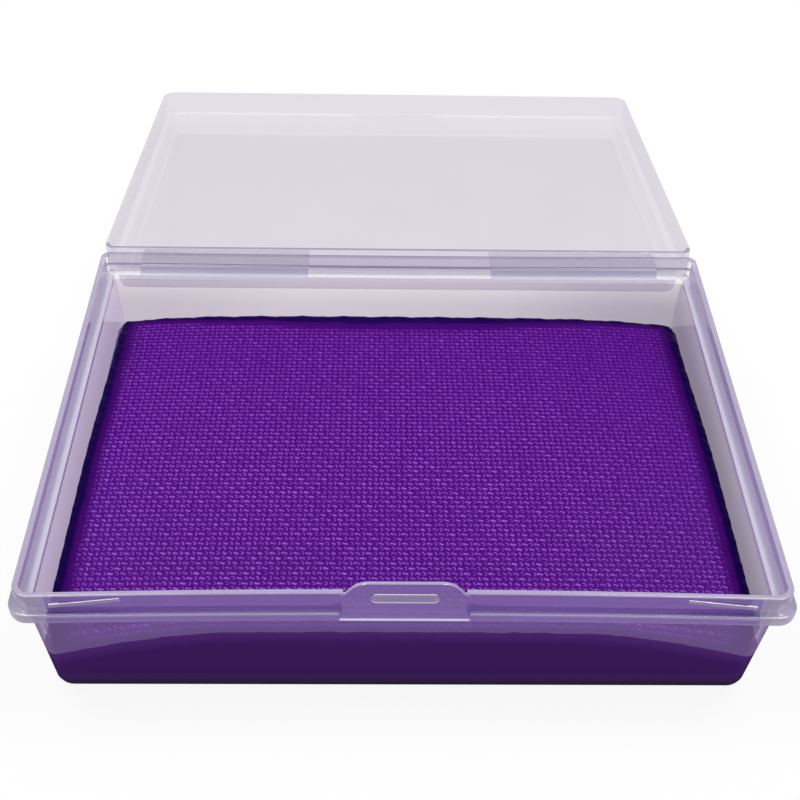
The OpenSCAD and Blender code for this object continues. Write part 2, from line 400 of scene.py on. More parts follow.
@dataclass(frozen=True)
class WettedPlastic(ClearPlastic):
    """The tray's outside: the paint behind it fills it up to a line, with haze above that in front."""

    paint: Triple = (0.130, 0.032, 0.285)
    # glow is painted light, the paint lit from above just under the line; foot is painted shade at the foot,
    # under the cake.
    glow: Triple = (0.200, 0.055, 0.430)
    foot: Triple = (0.075, 0.042, 0.115)
    filled: float = 0.93
    half_width: float = 53.6
    line_z: float = 15.4
    line_soft: float = 0.15
    line_ragged: float = 0.7
    ragged_scale: float = 0.35
    side_fall: float = 0.6
    side_power: float = 3.0
    corner_fall: float = 5.6
    corner_power: float = 1.6
    rear_fall: float = 6.0
    rear_y: Pair = (-30.0, 10.0)
    painted_light_h: float = 3.5
    foot_z: Pair = (2.3, 1.9)
    front_y: Pair = (-34.5, -37.0)
    least: float = 0.05

    def below(self, spot: Spot) -> Value:
        """Measures down from the paint's line, which drops towards the corners and the rear.

        Args:
            spot: Where on the surface.

        Returns:
            How far the place lies below the line, in millimetres.
        """
        x, y, z = spot.axes()
        share = (x.absolute() / self.half_width).least(1.0)
        corner = ((share - 0.5) * 2.0).most(0.0).power(self.corner_power)
        line = self.line_z - share.power(self.side_power) * self.side_fall - corner * self.corner_fall
        line = line.least(self.line_z - y.step(*self.rear_y) * self.rear_fall)
        return line - z + (spot.graph.noise(spot.place, self.ragged_scale, 4.0) - 0.5) * self.line_ragged

    def share(self, spot: Spot) -> Value:
        """The haze above the line, and nearly full below it."""
        wet = self.below(spot).step(-self.line_soft, self.line_soft)
        return super().share(spot) * (1.0 - wet) + wet * self.filled

    def depth(self, spot: Spot) -> Value | float:
        """Haze in front only."""
        return spot.axes()[1].step(*self.front_y) * (1.0 - self.least) + self.least

    def colour(self, spot: Spot) -> Socket:
        """Colours the haze above the line and the paint below it: painted light makes the paint lighter just
        under the line, and painted shade makes it darker at the foot.

        Args:
            spot: Where on the surface.

        Returns:
            The colour.
        """
        below, blend = self.below(spot), spot.graph.blend
        # Painted light just under the line, then painted shade at the foot.
        paint = blend(below.step(self.painted_light_h, 0.0), self.paint, self.glow)
        paint = blend(spot.axes()[2].step(*self.foot_z), paint, self.foot)
        return blend(below.step(-self.line_soft, self.line_soft), self.milk, paint)


@dataclass(frozen=True)
class Weave:
    """Imprint of a plain cloth: wide and narrow crowns in rows, each row half a step on."""

    step: float = 1.92
    row: float = 1.01
    wide: float = 0.31
    narrow: float = 0.19
    low: float = 0.12
    slant: float = 1.0
    relief: float = 0.09

    def height(self, x: float, y: float) -> float:
        """Works out the imprint's height at a point.

        Args:
            x: Place across, in millimetres.
            y: Place along.

        Returns:
            The height, from 0 in a groove to 1 on a crown.
        """
        row_place = y / self.row
        phase = (x / self.step + 0.5 * (math.floor(row_place) % 2)) % 1.0
        wide, narrow = self._crown(phase - 0.25, self.wide), self._crown(phase - 0.75, self.narrow)
        along = self._crown(row_place % 1.0 - 0.5, 0.5)
        return along * (self.low + (1 - self.low) * max(wide, narrow))

    @staticmethod
    def _crown(offset: float, half: float) -> float:
        """A round hump that falls to 0 at `half` from its middle."""
        share = 1.0 - min(1.0, abs(offset) / half) ** 2
        return share * share


@dataclass(frozen=True)
class CastPaint:
    """Wax-like purple paint with the sheen of its woven imprint: painted highlights on its crests and painted
    shade in its grooves.
    """

    weave: Weave
    name: str = "cast_paint"
    # Painted highlight colour on the crests; the groove colour, darker where the imprint is low, is painted
    # shade.
    crest_highlight: Triple = (0.430, 0.125, 0.760)
    crown: Triple = (0.125, 0.007, 0.305)
    groove: Triple = (0.070, 0.0008, 0.200)
    smooth: Triple = (0.060, 0.0006, 0.165)
    rim: Triple = (0.013, 0.0001, 0.095)
    side: Triple = (0.155, 0.018, 0.350)
    roughness: Pair = (0.32, 0.48)
    specular: float = 0.06
    bump_depth: float = 0.08
    blotch_scale: float = 0.12
    fleck_scale: float = 1.1
    rear_edge: Pair = (0.62, 0.9)
    front_edge: float = 3.0
    edge_blotch: float = 1.2
    rim_bands: Pair = (0.85, 1.25)
    woven_bands: Pair = (1.5, 2.3)
    far_y: Pair = (-15.0, 40.0)
    far_dull: float = 0.4
    right_x: Pair = (15.0, 55.0)
    near_y: Pair = (-36.0, -8.0)
    right_dull: Pair = (0.08, 0.35)

    def build(self, half_width: float, half_depth: float, band: float) -> Material:
        """Makes the material.

        Args:
            half_width: Half the cake's width, in millimetres.
            half_depth: Half its depth.
            band: Width of the smooth band along its edge.

        Returns:
            The material.
        """
        graph = Graph(bpy.data.materials.new(self.name))
        place = graph.place()
        x, y, _ = graph.axes(place)
        blotch, fleck = graph.noise(place, self.blotch_scale), graph.noise(place, self.fleck_scale)
        height, crest_highlight = self._imprint(x, y, fleck)
        across = (x / half_width).absolute()
        rear = (half_depth - y) * (self.rear_edge[0] + across * across * self.rear_edge[1])
        front = (half_depth + y) * self.front_edge
        edge = (half_width - x.absolute()).least(front).least(rear) + (blotch - 0.5) * self.edge_blotch
        woven = edge.step(*(band * share for share in self.woven_bands))
        # The thread colour darkens where the imprint is low: painted shade in grooves and hollows.
        tone = (height * (fleck * 0.7 + 0.75)).least(1.0)
        # Painted highlight on the crests, weaker far away and on the right.
        bright = crest_highlight * (fleck.step(0.25, 0.7) * 0.7 + 0.25) * self._sheen(x, y)
        thread = graph.blend(bright, graph.blend(tone, self.groove, self.crown), self.crest_highlight)
        body = graph.blend(woven, self.smooth, thread)
        top = graph.blend(edge.step(*(band * share for share in self.rim_bands)), self.rim, body)
        upright = graph.axes(graph.node("ShaderNodeTexCoord").outputs["Normal"])[2].step(0.5, 0.2)
        low, high = self.roughness
        return graph.finish(graph.node("ShaderNodeBsdfPrincipled", None, {
            "Base Color": graph.blend(upright, top, self.side),
            "Roughness": blotch * (high - low) + low,
            "Specular IOR Level": self.specular,
            "Normal": graph.bump(height * woven + fleck * woven * 0.25, self.bump_depth),
        }))

    def _sheen(self, x: Value, y: Value) -> Value:
        """Dims the painted highlights on the crests far away and on the right.

        Args:
            x: Place across, in millimetres.
            y: Place along.

        Returns:
            How bright they are, up to 1.
        """
        near, far = self.right_dull
        right = x.step(*self.right_x) * (y.step(*self.near_y) * (far - near) + near)
        return 1.0 - y.step(*self.far_y) * self.far_dull - right

    def _imprint(self, x: Value, y: Value, fleck: Value) -> tuple[Value, Value]:
        """The shader's finer copy of the imprint, with slanted wide crowns.

        Args:
            x: Place across, in millimetres.
            y: Place along.
            fleck: Noise that makes the threads uneven.

        Returns:
            Height from 0 to 1, and where the painted highlights on the crests lie.
        """
        weave = self.weave
        row_place = y / weave.row
        shift = row_place.floor().modulo(2.0) * 0.5
        phase = (x / weave.step + shift + (fleck - 0.5) * 0.45).modulo(1.0)
        wide = self._hump(phase - 0.25, weave.wide)
        narrow = self._hump(phase - 0.75, weave.narrow)
        row = row_place.fract() - 0.5
        lean = row + (phase - 0.25) * weave.slant * wide
        height = self._hump(lean, 0.5) * (wide.most(narrow) * (1 - weave.low) + weave.low)
        dash = self._hump(lean - 0.10 + (fleck - 0.5) * 0.4, 0.27) * wide.step(0.0, 0.5)
        across, along = (phase - 0.69) / 0.15, (row - 0.04) / 0.32
        ring = (across * across + along * along).power(0.5)
        arc = self._hump(ring - 1.0, 0.5) * (across + along * 0.5).step(-0.1, 0.5) * narrow.step(0.0, 0.25)
        # A dip in the middle of each small arc, which the colour shows darker as painted shade.
        hollow = 1.0 - self._hump(ring, 0.8) * 0.8
        return height * hollow, dash.most(arc * 0.9)

    @staticmethod
    def _hump(offset: Value, half: float) -> Value:
        """The shader's copy of a crown."""
        share = 1.0 - (offset.absolute() / half).least(1.0).power(2.0)
        return share * share


@dataclass(frozen=True)
class Tabletop:
    """White table that shows white behind the object, keeps its shadow and throws little light back."""

    name: str = "tabletop"
    seen: Triple = (1.0, 1.0, 1.0)
    grain: Triple = (0.98, 0.98, 0.985)
    bounce: Triple = (0.30, 0.30, 0.31)
    glow: float = 0.90

    def build(self) -> Material:
        """Makes the material.

        Returns:
            The material.
        """
        graph = Graph(bpy.data.materials.new(self.name))
        seen = graph.seen_ray("Is Camera Ray", "Is Glossy Ray", "Is Transmission Ray")
        pale = graph.blend(graph.noise(graph.place(), 0.02, 2.0), self.seen, self.grain)
        diffuse = graph.node("ShaderNodeBsdfPrincipled", None, {
            "Base Color": graph.blend(seen, self.bounce, pale),
            "Roughness": 0.8,
            "Specular IOR Level": 0.0,
        })
        glow = graph.node("ShaderNodeEmission", None, {"Color": (1.0, 1.0, 1.0, 1.0), "Strength": 1.0})
        inputs = {0: seen * self.glow, 1: diffuse.outputs[0], 2: glow.outputs[0]}
        return graph.finish(graph.node("ShaderNodeMixShader", None, inputs))


class Zone(Enum):
    """Where on the case a face lies, which sets its finish."""

    CLEAR = auto()
    INNER = auto()
    SIDE = auto()
    SIDE_LIP = auto()
    SKIN = auto()
    FRONT = auto()
    FRONT_TOP = auto()
    FRONT_END = auto()
    EDGE = auto()
    SHADE = auto()
    MIST = auto()
    # The ledge, glint and gleam zones carry painted highlight lines.
    LEDGE = auto()
    GLINT = auto()
    GLEAM = auto()
    PANEL = auto()


CLEAR_SKIN = ClearPlastic("clear_skin", haze=0.015, tint=(0.985, 0.98, 0.99), gloss=0.25)
SHADE_LINE = ClearPlastic("shade_line", haze=0.60, milk=(0.30, 0.25, 0.42))
TRAY_FINISHES = {
    Zone.CLEAR: CLEAR_SKIN,
    # The inner walls' haze: painted reflection of the paint near it, and painted shade at the rear wall's
    # ends and on the right.
    Zone.INNER: PaintReflectShadePlastic("tray_inner_end", haze=0.23, milk=(0.38, 0.26, 0.48),
                               tint=(0.95, 0.915, 0.945), end_shade=0.6, right_shade=0.5),
    Zone.SIDE: PaintReflectShadePlastic("tray_inner_side", haze=0.45, milk=(0.70, 0.40, 0.98), least=0.75,
                              right_darker_milk=0.75, right_shade=0.25, tint=(0.95, 0.90, 0.97)),
    Zone.SIDE_LIP: ClearPlastic("side_lip", haze=0.75, milk=(0.84, 0.73, 0.98), tint=(0.93, 0.87, 0.96)),
    Zone.SKIN: WettedPlastic("tray_skin", haze=0.53, haze_spread=0.01, milk=(0.60, 0.38, 0.92),
                             tint=(0.90, 0.87, 0.91), gloss=0.2, coat_weight=0.0, specular=0.0),
    Zone.FRONT: ClearPlastic("front_rim", haze=0.75, milk=(0.465, 0.235, 0.900), gloss=0.1,
                             coat_weight=0.2),
    Zone.FRONT_TOP: ClearPlastic("front_ledge", haze=0.80, milk=(0.245, 0.205, 0.450), gloss=0.1,
                                 coat_weight=0.2),
    Zone.FRONT_END: ClearPlastic("front_rim_end", haze=0.60, milk=(0.74, 0.62, 0.95), gloss=0.2),
    Zone.EDGE: ClearPlastic("rim_edge", haze=0.85, milk=(0.550, 0.495, 0.680)),
    Zone.SHADE: SHADE_LINE,
    Zone.MIST: ClearPlastic("rear_lip", haze=0.24, milk=(0.56, 0.52, 0.66), tint=(0.97, 0.95, 0.98)),
    # Painted highlights: the bright ledge lines, and glint lines that also glow a little as painted light.
    Zone.LEDGE: ClearPlastic("ledge", haze=0.70, milk=(0.80, 0.76, 0.98)),
    Zone.GLINT: ClearPlastic("glint_line", haze=0.92, milk=(0.96, 0.92, 0.99), painted_glint=0.34),
    Zone.GLEAM: ClearPlastic("rear_ledge_glint", haze=0.92, milk=(0.96, 0.92, 0.99), painted_glint=0.09),
}
LID_FINISHES = {
    Zone.CLEAR: CLEAR_SKIN,
    Zone.SKIN: ClearPlastic("lid_skin", haze=0.13, milk=(0.62, 0.56, 0.78), tint=(0.86, 0.838, 0.89)),
    # The panel's darker tint is partly the plastic's own and partly painted shadow that the lid casts on the
    # table below it.
    Zone.PANEL: ClearPlastic("lid_panel", haze=0.13, milk=(0.60, 0.55, 0.72), tint=(0.80, 0.777, 0.828)),
    Zone.SHADE: SHADE_LINE,
    # Painted highlight along the lid's far ledge, with a little painted glow.
    Zone.GLINT: ClearPlastic("lid_ledge_glint", haze=0.45, milk=(0.97, 0.95, 0.99), painted_glint=0.12),
}
STRAP_FINISHES = {
    Zone.MIST: ClearPlastic("strap_plastic", haze=0.70, milk=(0.57, 0.555, 0.67),
                            tint=(0.96, 0.95, 0.97), coat_weight=0.2),
    Zone.CLEAR: CLEAR_SKIN,
}


# ---- Modelling helpers -------------------------------------------------------------------------


class Bench:
    """Operators that are used on every piece."""

    @staticmethod
    def dress(piece: Piece, finishes: dict[Zone, ClearPlastic],
              zone: Callable[[Vector, Vector], Zone]) -> None:
        """Gives the faces of a piece their materials.

        Args:
            piece: The finished piece.
            finishes: The finishes by zone.
            zone: Chooses a zone from a face's middle, in millimetres, and its normal.
        """
        order = list(finishes)
        piece.data.materials.clear()
        for finish in finishes.values():
            piece.data.materials.append(finish.material())
        for face in piece.data.polygons:
            face.material_index = order.index(zone(face.center / MM, face.normal))

    @staticmethod
    def clear() -> None:
        """Leaves edit mode and deselects everything."""
        if bpy.context.object and bpy.context.object.mode != "OBJECT":
            bpy.ops.object.mode_set(mode="OBJECT")
        bpy.ops.object.select_all(action="DESELECT")

    @staticmethod
    def take(piece: Piece) -> None:
        """Makes a piece the only selected and active object."""
        Bench.clear()
        piece.select_set(True)
        bpy.context.view_layer.objects.active = piece

    @staticmethod
    @contextmanager
    def editing(piece: Piece) -> Iterator[None]:
        """Opens a piece in edit mode with all its edges selected, and closes it again.

        Args:
            piece: The piece.

        Returns:
            A context that ends edit mode.
        """
        Bench.take(piece)
        bpy.ops.object.mode_set(mode="EDIT")
        bpy.ops.mesh.select_mode(type="EDGE")
        bpy.ops.mesh.select_all(action="SELECT")
        yield
        bpy.ops.object.mode_set(mode="OBJECT")

    @staticmethod
    def pick(piece: Piece, choose: Callable[[bmesh.types.BMEdge], bool]) -> None:
        """Selects some edges of a piece in edit mode.

        Args:
            piece: The piece.
            choose: Whether an edge is one of them.
        """
        bpy.ops.mesh.select_all(action="DESELECT")
        for edge in bmesh.from_edit_mesh(piece.data).edges:
            edge.select_set(choose(edge))
        bmesh.update_edit_mesh(piece.data)

    @staticmethod
    def named(name: str) -> Piece:
        """Names the object that an operator has just added."""
        piece = bpy.context.object
        piece.name = piece.data.name = name
        return piece

    @staticmethod
    def block(name: str, low: Sequence[float], high: Sequence[float]) -> Piece:
        """Adds a block.

        Args:
            name: The block's name.
            low: Its lowest corner, in millimetres.
            high: Its highest one.

        Returns:
            The block.
        """
        Bench.clear()
        middle = [(a + b) / 2 * MM for a, b in zip(low, high)]
        bpy.ops.mesh.primitive_cube_add(size=1.0, location=middle)
        piece = Bench.named(name)
        piece.scale = [(b - a) * MM for a, b in zip(low, high)]
        Bench.settle(piece)
        return piece

    @staticmethod
    def settle(piece: Piece) -> None:
        """Moves a piece's place into its mesh."""
        Bench.take(piece)
        bpy.ops.object.transform_apply(location=True, rotation=True, scale=True)

    @staticmethod
    def modify(piece: Piece, kind: str, **settings: object) -> None:
        """Adds a modifier and applies it.

        Args:
            piece: The piece.
            kind: The modifier's type.
            settings: Its properties.
        """
        Bench.take(piece)
        modifier = piece.modifiers.new(kind.lower(), kind)
        for name, setting in settings.items():
            setattr(modifier, name, setting)
        bpy.ops.object.modifier_apply(modifier=modifier.name)

    @staticmethod
    def bevel(piece: Piece, width: float, segments: int = 2, angle: float = 30.0) -> None:
        """Rounds the edges of a piece that turn by more than an angle."""
        Bench.modify(piece, "BEVEL", width=width * MM, segments=segments, limit_method="ANGLE",
                     angle_limit=math.radians(angle), use_clamp_overlap=True)

    @staticmethod
    def boolean(piece: Piece, tool: Piece, operation: str = "UNION") -> None:
        """Joins, cuts or trims a piece with a tool, which is then removed."""
        Bench.modify(piece, "BOOLEAN", object=tool, operation=operation, solver="EXACT")
        bpy.data.objects.remove(tool, do_unlink=True)

    @staticmethod
    def split(piece: Piece, place: Triple, normal: Triple) -> None:
        """Divides a piece's faces along a plane through a place in millimetres."""
        with Bench.editing(piece):
            bpy.ops.mesh.bisect(plane_co=[part * MM for part in place], plane_no=normal)

    @staticmethod
    def smooth(piece: Piece, angle: float = 35.0) -> None:
        """Shades a piece smooth across edges that turn by less than an angle."""
        Bench.take(piece)
        bpy.ops.object.shade_smooth_by_angle(angle=math.radians(angle))

    @staticmethod
    def outward(piece: Piece) -> None:
        """Merges doubles and turns every face outwards."""
        with Bench.editing(piece):
            bpy.ops.mesh.remove_doubles(threshold=NEAR_M)
            bpy.ops.mesh.normals_make_consistent(inside=False)


@dataclass(frozen=True)
class Ring:
    """A rounded rectangle round the case, given by how far it lies inside the case's outline."""

    side: float
    end: float
    z: float
    corner: float

    def towards(self, other: Ring, share: float) -> Ring:
        """The ring part of the way to another."""
        return Ring(*(a + (b - a) * share for a, b in zip(astuple(self), astuple(other))))

    def share(self, other: Ring, length: float) -> float:
        """The share of the way to another ring that a length takes up, less than half."""
        return min(0.48, length / max(1e-6, math.hypot(self.side - other.side, self.z - other.z)))


@dataclass(frozen=True)
class Turn:
    """A corner of a wall's profile and the radius that rounds it."""

    ring: Ring
    radius: float = 0.0


@dataclass
class ProfileLoft:
    """A closed wall swept round the case's outline from a profile of rings."""

    half_width: float
    front: float
    rear: float
    bow: Callable[[float, int], float] = lambda z, side: 0.0
    bow_end: float = 0.3
    rear_corner_cut: float = 1.0
    least_corner: float = 0.4
    corner_steps: int = 8
    side_steps: int = 12
    turn_steps: int = 3

    def points(self, ring: Ring) -> list[Vector]:
        """Lays out a ring.

        Args:
            ring: The ring.

        Returns:
            Its points in metres, the same number for every ring.
        """
        w = self.half_width - ring.side
        front, rear, r = self.front + ring.end, self.rear - ring.end, ring.corner
        q = max(self.least_corner, r - self.rear_corner_cut)
        corners = [(w - r, front + r, -90, r), (w - q, rear - q, 0, q),
                   (-w + q, rear - q, 90, q), (-w + r, front + r, 180, r)]
        outline: list[Vector] = []
        for index, corner in enumerate(corners):
            for step in range(self.corner_steps + 1):
                outline.append(self._on_corner(corner, 90 * step / self.corner_steps))
            last, goal = outline[-1].copy(), self._on_corner(corners[(index + 1) % 4], 0)
            for step in range(1, self.side_steps):
                outline.append(last.lerp(goal, step / self.side_steps))
        middle, end = (front + rear) / 2, self.bow_end * (rear - front)
        for point in outline:
            share = max(0.0, 1 - (point.x / self.half_width) ** 2)
            side = -1 if point.y < middle else 1
            point.y -= side * self.bow(ring.z, side) * share * min(1.0, abs(point.y - middle) / end)
            point.z = ring.z
        return [point * MM for point in outline]

    @staticmethod
    def _on_corner(corner: tuple[float, float, float, float], turn: float) -> Vector:
        """Finds a point on a rounded corner.

        Args:
            corner: Its middle, its first angle in degrees and its radius.
            turn: How far round it the point lies, in degrees.

        Returns:
            The point.
        """
        x, y, start, radius = corner
        angle = math.radians(start + turn)
        return Vector((x + radius * math.cos(angle), y + radius * math.sin(angle), 0))

    def rings(self, turns: Sequence[Turn]) -> list[Ring]:
        """Rounds a profile.

        Args:
            turns: The profile's corners.

        Returns:
            Its rings, with each turn rounded.
        """
        found = [turns[0].ring]
        for before, turn, after in zip(turns, turns[1:], turns[2:]):
            ring = turn.ring
            if turn.radius == 0:
                found.append(ring)
                continue
            start = ring.towards(before.ring, ring.share(before.ring, turn.radius))
            end = ring.towards(after.ring, ring.share(after.ring, turn.radius))
            for step in range(self.turn_steps + 1):
                share = step / self.turn_steps
                found.append(start.towards(ring, share).towards(ring.towards(end, share), share))
        return found + [turns[-1].ring]

    def build(self, name: str, turns: Sequence[Turn]) -> Piece:
        """Models the wall.

        Args:
            name: The piece's name.
            turns: The profile from its outer cap to its inner one.

        Returns:
            The closed piece.
        """
        rings = self.rings(turns)
        start = self.points(rings[0])
        Bench.clear()
        bpy.ops.mesh.primitive_circle_add(vertices=len(start), fill_type="NGON")
        piece = Bench.named(name)
        for vertex, point in zip(piece.data.vertices, start):
            vertex.co = point
        with Bench.editing(piece):
            order = list(range(len(start)))
            for ring in rings[1:]:
                order = self._extrude(piece, order, self.points(ring))
            bpy.ops.mesh.edge_face_add()
        Bench.outward(piece)
        return piece

    @staticmethod
    def _extrude(piece: Piece, order: list[int], points: Sequence[Vector]) -> list[int]:
        """Extrudes the selected loop and lays it on the next ring.

        Args:
            piece: The piece in edit mode.
            order: The loop's vertex numbers, in the ring's order.
            points: Where the new loop goes.

        Returns:
            The new loop's vertex numbers, in the same order.
        """
        bpy.ops.mesh.extrude_edges_move()
        mesh = bmesh.from_edit_mesh(piece.data)
        mesh.verts.ensure_lookup_table()
        mesh.verts.index_update()
        fresh: list[int] = []
        for number, point in zip(order, points):
            old = mesh.verts[number]
            new = next(e.other_vert(old) for e in old.link_edges if e.other_vert(old).select)
            new.co = point
            fresh.append(new.index)
        bmesh.update_edit_mesh(piece.data)
        return fresh


# ---- The case ----------------------------------------------------------------------------------


@dataclass
class CaseSizes:
    """Sizes that the tray, the lid, the straps and the cake share, in millimetres."""

    width: float
    depth: float
    lip_top_z: float
    fold_y: float
    fold_z: float
    open_angle: float
    lip_h: float = 3.2
    flange_t: float = 1.7
    lip_inset: float = 1.0
    lip_t: float = 0.95
    ledge_w: float = 1.1
    wall: float = 1.15
    floor_t: float = 1.2
    side_draft: float = 1.1
    end_draft: float = 1.7
    foot_r: float = 1.2
    latch_w: float = 19.0
    latch_rise: float = 2.25
    strap_from_side: float = 8.0
    strap_l: float = 32.0
    front_bow: float = 0.9
    rear_bow: float = 0.35
    flange_z: float = field(init=False)
    under: float = field(init=False)
    inner: float = field(init=False)
    outer: float = field(init=False)

    def __post_init__(self) -> None:
        """Works out the sizes that follow from the others."""
        self.flange_z = self.lip_top_z - self.lip_h
        self.under = self.flange_z - self.flange_t
        self.inner = self.lip_inset + self.lip_t + self.ledge_w
        self.outer = self.inner - self.wall

    @classmethod
    def from_frame(cls, joint: dict) -> CaseSizes:
        """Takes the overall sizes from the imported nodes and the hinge.

        Args:
            joint: The hinge's row in the frame.

        Returns:
            The sizes.
        """
        low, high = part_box("base_tray")
        return cls(
            width=(high.x - low.x) / MM,
            depth=(high.y - low.y) / MM,
            lip_top_z=high.z / MM - cls.latch_rise,
            fold_y=joint["pos_m"][1] / MM,
            fold_z=joint["pos_m"][2] / MM,
            open_angle=joint["range_deg"][1],
        )

    @property
    def front(self) -> float:
        """Where the flange's front edge lies."""
        return -self.depth / 2

    @property
    def strap_x(self) -> Pair:
        """How far across the straps' inner and outer ends lie."""
        outer = self.width / 2 - self.strap_from_side
        return outer - self.strap_l, outer

    def bow(self, z: float, side: int) -> float:
        """How far the front (-1) or rear (1) wall bows inwards at a height, at its middle."""
        return (self.front_bow if side < 0 else self.rear_bow) * z / self.flange_z

    def bow_share(self, x: float) -> float:
        """The share of a wall's bow at a place across."""
        return max(0.0, 1 - (2 * x / self.width) ** 2)

    def inside_half_width(self, z: float) -> float:
        """Half the tray's width between its walls at a height."""
        return self.width / 2 - self.inner - self.side_draft * (1 - z / self.under)

    def inside_reach(self, x: float, z: float, side: int) -> float:
        """Where the front (-1) or rear (1) wall's inner face lies at a place and height."""
        drafted = self.inner + self.end_draft * (1 - z / self.under)
        return side * (self.depth / 2 - drafted - self.bow(z, side) * self.bow_share(x))

    def outwards(self, middle: Vector, normal: Vector) -> bool:
        """Whether a face looks away from the middle of the case."""
        return normal.x * middle.x / self.width + normal.y * middle.y / self.depth > 0


@dataclass
class CaseTray:
    """The tray: drafted walls, flange, lip, ledge, latch plate and snap ribs."""

    s: CaseSizes
    ledge_drop: float = 0.65
    band_h: float = 1.1
    cap_in: float = 5.0
    latch_top_w: float = 13.6
    latch_t: float = 0.6
    latch_drop: float = 2.6
    latch_in: float = 0.02
    shoulder_drop: float = 1.2
    shoulder_foot: float = 0.3
    shoulder_r: float = 1.4
    plate_edge_r: float = 0.12
    bead_h: float = 0.18
    bead_proud: float = 0.28
    bead_in: float = 0.2
    ridge_l: float = 10.0
    ridge_h: float = 1.9
    ridge_z: float = 2.45
    ridge_proud: float = 0.4
    ridge_in: float = 0.4
    ridge_round: float = 0.45
    ridge_edge_r: float = 0.3
    rib_l: float = 10.2
    rib_h: float = 0.75
    rib_slant: float = 1.05
    rib_drop: float = 0.45
    rib_from_side: float = 6.5
    rib_proud: float = 0.3
    rib_proud_inner: float = 0.16
    rib_in: float = 0.35
    rib_edge_r: float = 0.09
    end_x: float = 51.5
    front_reach: float = 4.5
    plate_reach: float = 3.0
    rear_reach: float = 3.6
    notch_under: float = 0.5
    notch_over: float = 0.8

    @property
    def latch_foot(self) -> float:
        """The height of the latch plate's foot."""
        return self.s.flange_z - self.latch_drop

    @property
    def latch_face(self) -> float:
        """Where the lip's outer face lies along, at its middle."""
        return self.s.front + self.s.lip_inset + self.s.front_bow

    def loft(self) -> Piece:
        """Models the walls, the floor and the rim as one closed shell.

        Returns:
            The shell.
        """
        s, cap = self.s, self.cap_in
        foot_side, foot_end = s.outer + s.side_draft, s.outer + s.end_draft
        lip_in, ledge_z = s.lip_inset + s.lip_t, s.flange_z - self.ledge_drop
        share = 1 - s.floor_t / s.under
        floor_side, floor_end = s.inner + s.side_draft * share, s.inner + s.end_draft * share
        return ProfileLoft(s.width / 2, s.front, s.depth / 2, s.bow).build("case_tray", [
            Turn(Ring(foot_side + cap, foot_end + cap, 0, 2.5)),
            Turn(Ring(foot_side, foot_end, 0, 3.0), s.foot_r * 1.2),
            Turn(Ring(s.outer, s.outer, s.under, 3.0), 0.25),
            Turn(Ring(0, 0, s.under, 3.2), 0.35),
            Turn(Ring(0, 0, s.flange_z, 3.2), 0.35),
            Turn(Ring(s.lip_inset, s.lip_inset, s.flange_z, 2.7), 0.15),
            Turn(Ring(s.lip_inset, s.lip_inset, s.lip_top_z, 2.7), 0.28),
            Turn(Ring(lip_in, lip_in, s.lip_top_z, 1.9), 0.28),
            Turn(Ring(lip_in, lip_in, ledge_z + self.band_h, 1.9)),
            Turn(Ring(lip_in, lip_in, ledge_z, 1.9), 0.35),
            Turn(Ring(s.inner, s.inner, ledge_z, 1.3), 0.2),
            Turn(Ring(s.inner, s.inner, s.under, 1.5)),
            Turn(Ring(floor_side, floor_end, s.floor_t, 1.6), s.foot_r),
            Turn(Ring(floor_side + cap, floor_end + cap, s.floor_t, 1.2)),
        ])

    def latch_plate(self) -> Piece:
        """Models the plate that stands up over the lip, with sloping shoulders and a bead at its foot.

        Returns:
            The plate.
        """
        s, half = self.s, self.s.latch_w / 2
        low, top = self.latch_foot, s.lip_top_z + s.latch_rise
        face = self.latch_face - self.latch_in
        rear = face + self.latch_t
        plate = Bench.block("latch_plate", (-half, face, low), (half, rear, top))
        for vertex in plate.data.vertices:
            if vertex.co.z > (low + top) / 2 * MM:
                vertex.co.x = math.copysign(self.latch_top_w / 2 * MM, vertex.co.x)
            else:
                vertex.co.z = (s.lip_top_z - self.shoulder_drop) * MM
        foot_top = s.lip_top_z - self.shoulder_foot
        Bench.boolean(plate, Bench.block("latch_foot", (-half, face, low), (half, rear, foot_top)))
        with Bench.editing(plate):
            Bench.pick(plate, lambda edge: self._on_top(edge, top * MM))
            bpy.ops.mesh.bevel(offset=self.shoulder_r * MM, segments=5, profile=0.5)
        Bench.bevel(plate, self.plate_edge_r)
        # The bead at the plate's foot carries a painted highlight line along the plate's lower edge.
        bead_low = (-half, face - self.bead_proud, low)
        bead = Bench.block("foot_bead", bead_low, (half, face + self.bead_in, low + self.bead_h))
        for vertex in bead.data.vertices:
            if vertex.co.z > (low + self.bead_h / 2) * MM and vertex.co.y < face * MM:
                vertex.co.y = (face + self.latch_in) * MM
        Bench.boolean(plate, bead)
        return plate

    @staticmethod
    def _on_top(edge: bmesh.types.BMEdge, top: float) -> bool:
        """Whether an edge runs from front to rear at a height, in metres."""
        one, other = (vertex.co for vertex in edge.verts)
        return max(abs(one.z - top), abs(other.z - top), abs(one.x - other.x)) < NEAR_M

    def catch_ridge(self) -> Piece:
        """Models the rounded bar on the plate's face.

        Returns:
            The bar.
        """
        face, half = self.latch_face, self.ridge_h / 2
        middle = self.s.flange_z + self.ridge_z
        low = (-self.ridge_l / 2, face - self.ridge_proud, middle - half)
        ridge = Bench.block("catch_ridge", low, (self.ridge_l / 2, face + self.ridge_in, middle + half))
        with Bench.editing(ridge):
            Bench.pick(ridge, lambda edge: abs(edge.verts[0].co.y - edge.verts[1].co.y) > NEAR_M)
            bpy.ops.mesh.bevel(offset=self.ridge_round * self.ridge_h * MM, segments=6, profile=0.5)
        Bench.bevel(ridge, self.ridge_edge_r, 3, 60)
        return ridge

